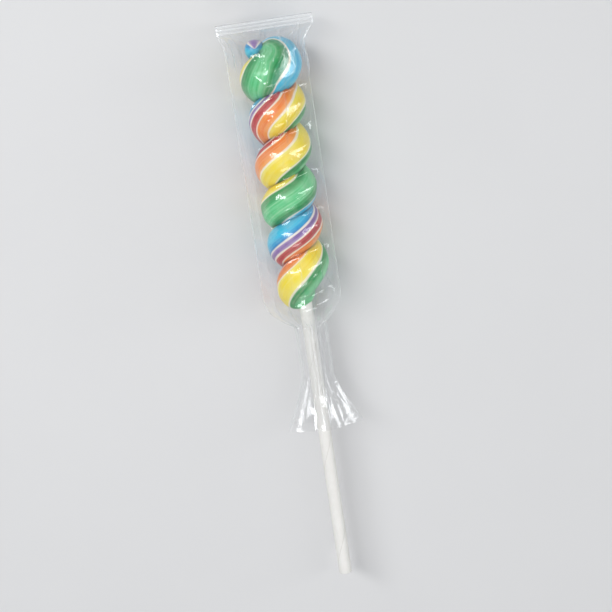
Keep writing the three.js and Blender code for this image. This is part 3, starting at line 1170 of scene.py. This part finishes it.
    def film(self, angle: Array, y: Array) -> tuple[Array, Array]:
        """Lay the film over the candy, the neck and the skirt.

        Args:
            angle: Radians round the axis.
            y: Places along it.

        Returns:
            The points, and how white the film is painted at each, from 0 to 1: the frosting of its
            seal, the gathered layers of its neck, and painted highlights on its creases, pleats
            and pressed edges.
        """
        at = self.layout
        seal_start = at.seal_end - self.seal_length
        sealing = ramp(y, at.tip - self.seal_closing, seal_start)
        closing = ramp(y, at.neck_start + self.shoulder_slope, at.neck_start)
        flaring = ramp(y, at.neck_end, at.hem)
        closed = closing ** self.shoulder_curve
        flared = flaring ** self.flare_curve

        sleeve = self.sleeve(angle, y)
        in_seal = smoothstep(y, seal_start, seal_start + self.seal_rise)
        shut = 1 - smoothstep(y, at.seal_end - self.seal_cut, at.seal_end)
        seal = np.stack([self.seal_half_width * np.sin(angle),
                         self.seal_half_height * np.cos(angle) * shut])
        gather = self.pleats(angle, y)
        pleat = self.neck_pleat_depth * gather
        neck = self.oval(angle, self.neck_half_width, self.neck_half_height, pleat)
        neck[0] += self.neck_shift * closed * (1 - flared)
        wave = self.folds(angle, self.hem_folds, self.hem_wave)
        hem = self.oval(angle, self.hem_half_width, self.hem_half_height,
                        wave + pleat * self.hem_pleats * (1 - flared))
        section = blend(blend(blend(sleeve, seal, sealing ** self.seal_curve), neck, closed),
                        hem, flared)

        lift, mark = self.creases(angle, y, sealing, closing, flaring)
        size = np.hypot(*section) + 1e-6
        section *= 1 + lift * (1 - in_seal) / size
        rib = np.sin(TAU * y / self.rib_pitch)
        section[1] += in_seal * shut * self.rib_height * rib
        low = self.table_gap - at.axis_height
        points = np.stack([section[0], y, np.maximum(section[1], low)], axis=-1)
        points[:, 2] += at.axis_height
        white, ribbed = self.rib_whiteness
        mark = np.maximum(mark, in_seal * (white + ribbed * rib))
        # painted highlights on the neck's pleats, broken along them, over the whitened layers of
        # gathered film
        broken = 0.65 + 0.35 * np.sin(y / 1.3 + 5 * angle)
        white, pleated = self.neck_layers_and_glints
        mark = np.maximum(mark, closed * blend(1, self.skirt_whiteness, flared)
                          * (white + pleated * broken * gather ** 2))
        return points, np.clip(mark, 0, 1)

    def creases(self, angle: Array, y: Array, sealing: Array, closing: Array,
                flaring: Array) -> tuple[Array, Array]:
        """Crease the film: along the sleeve, between its lobes, and where it closes.

        Args:
            angle: Radians round the axis.
            y: Places along it.
            sealing: Share of the way from the round sleeve to the seal.
            closing: Share of the way from the sleeve to the neck.
            flaring: Share of the way from the neck to the hem.

        Returns:
            How far the film is lifted, and the painted highlights along its creases and pressed
            edges.
        """
        full = self.layout.axis_height
        narrow = full * self.gathered_share
        loosened = np.minimum(flaring + self.skirt_crumple, 1)
        shares = {Stretch.BODY: (full, 1, 1), Stretch.TIP: (full, 1 - sealing ** 4, 1),
                  Stretch.NECK: (narrow, closing, closing),
                  Stretch.SKIRT: (narrow, loosened, flaring)}
        lift, mark = np.zeros_like(y), np.zeros_like(y)
        for wrinkles in self.wrinkles:
            radius, lifted, marked = shares[wrinkles.stretch]
            ridges = wrinkles.ridges(angle, y, radius)
            lift += ridges * lifted
            # painted glint: each crease is whitened along its ridge, whichever way the light falls
            mark += np.abs(ridges) * marked * wrinkles.crease_glint
        # painted highlight: a white line along each pressed edge of the sleeve, fading where it
        # closes on the neck
        from_edge = full * np.abs((angle % math.pi) - math.pi / 2)
        pressed_edge_highlight = self.fold_highlight * np.exp(-(from_edge / self.fold_width) ** 2)
        return lift, mark + pressed_edge_highlight * (1 - closing)


# ---- the studio ----


@dataclass(frozen=True)
class SoftBox:
    """A soft studio lamp, aimed at the middle of the lollipop."""

    name: str
    place: Triple  # metres
    width: float
    length: float
    watts: float

    def build(self, aim: Vector) -> None:
        """Hang the lamp and turn it.

        Args:
            aim: What it points at.
        """
        lamp = bpy.data.lights.new(self.name, "AREA")
        lamp.shape = "RECTANGLE"
        lamp.size, lamp.size_y = self.width, self.length
        lamp.energy = self.watts
        holder = bpy.data.objects.new(self.name, lamp)
        holder.location = self.place
        holder.rotation_euler = (Vector(self.place) - aim).to_track_quat("Z", "Y").to_euler()
        bpy.context.scene.collection.objects.link(holder)


@dataclass
class Table(Piece):
    """The surface that everything lies on, its top at the height of the floor."""

    name: str = "table"
    finish: Finish = field(default_factory=PaleTable)
    size: float = 3000.0

    def model(self, bm: Mesh) -> None:
        """Model the top."""
        bmesh.ops.create_grid(bm, x_segments=8, y_segments=8, size=self.size / 2)

    def declare(self, piece: bpy.types.Object) -> None:
        """Leave it as it is: it is no part of the lollipop."""


@dataclass
class Studio:
    """The pale table, soft light from several sides, and the camera above."""

    table: Table = field(default_factory=Table)
    daylight: Colour = (0.93, 0.96, 1.0)
    overhead: float = 0.32
    horizon: float = 0.17
    lens: float = 85.0
    distance: float = 0.385
    tilt: float = math.radians(11)  # from straight above, towards the candy's tip
    lean: float = math.radians(8.5)  # of the stick in the picture, tip to the left
    lamps: tuple[SoftBox, ...] = (
        SoftBox("key_box", (-0.34, 0.22, 0.52), 0.16, 0.50, 2.7),
        SoftBox("side_strip", (0.42, 0.05, 0.30), 0.08, 0.60, 0.9),
        SoftBox("top_box", (0.05, -0.42, 0.60), 0.40, 0.20, 1.0),
    )

    def build(self) -> None:
        """Set up the table, the lamps, the daylight and the camera."""
        low, high = CAD_BOX
        aim = (low + high) / 2
        self.table.build()
        for lamp in self.lamps:
            lamp.build(aim)
        self.build_daylight()
        self.build_camera(aim)

    def build_daylight(self) -> None:
        """Fill the room with soft light from above, dimmer towards the walls."""
        world = bpy.data.worlds.new("daylight")
        world.use_nodes = True
        bench = Bench(world.node_tree)
        way = bench.add("TexCoord").outputs["Generated"]
        height = bench.add("SeparateXYZ", way).outputs[2]
        sky = bench.add("Background", Color=(*self.daylight, 1),
                        Strength=bench.span(height, 0.0, 0.75, self.horizon, self.overhead))
        bench.add("OutputWorld", Surface=sky.outputs[0])
        bpy.context.scene.world = world

    def build_camera(self, aim: Vector) -> None:
        """Put the camera above the lollipop, looking down on the shown side.

        Args:
            aim: The middle of the lollipop.
        """
        scene = bpy.context.scene
        lens = bpy.data.cameras.new("camera")
        lens.lens = self.lens
        lens.clip_start, lens.clip_end = 0.01, 20
        camera = bpy.data.objects.new("camera", lens)
        turn = Matrix.Rotation(-self.tilt, 4, "X") @ Matrix.Rotation(-self.lean, 4, "Z")
        camera.matrix_world = (Matrix.Translation(aim) @ turn
                               @ Matrix.Translation((0, 0, self.distance)))
        scene.collection.objects.link(camera)
        scene.camera = camera
        scene.view_settings.view_transform = "Standard"


def main() -> None:
    """Build the pieces in order, then the studio."""
    logging.basicConfig(level=logging.INFO, format="%(name)s: %(message)s")
    layout = Layout()
    coil = Coil(layout)
    for piece in (Candy(layout, coil), PaperStick(layout), FilmSleeve(layout, coil)):
        piece.build()
    Studio().build()


if __name__ == "__main__":
    main()
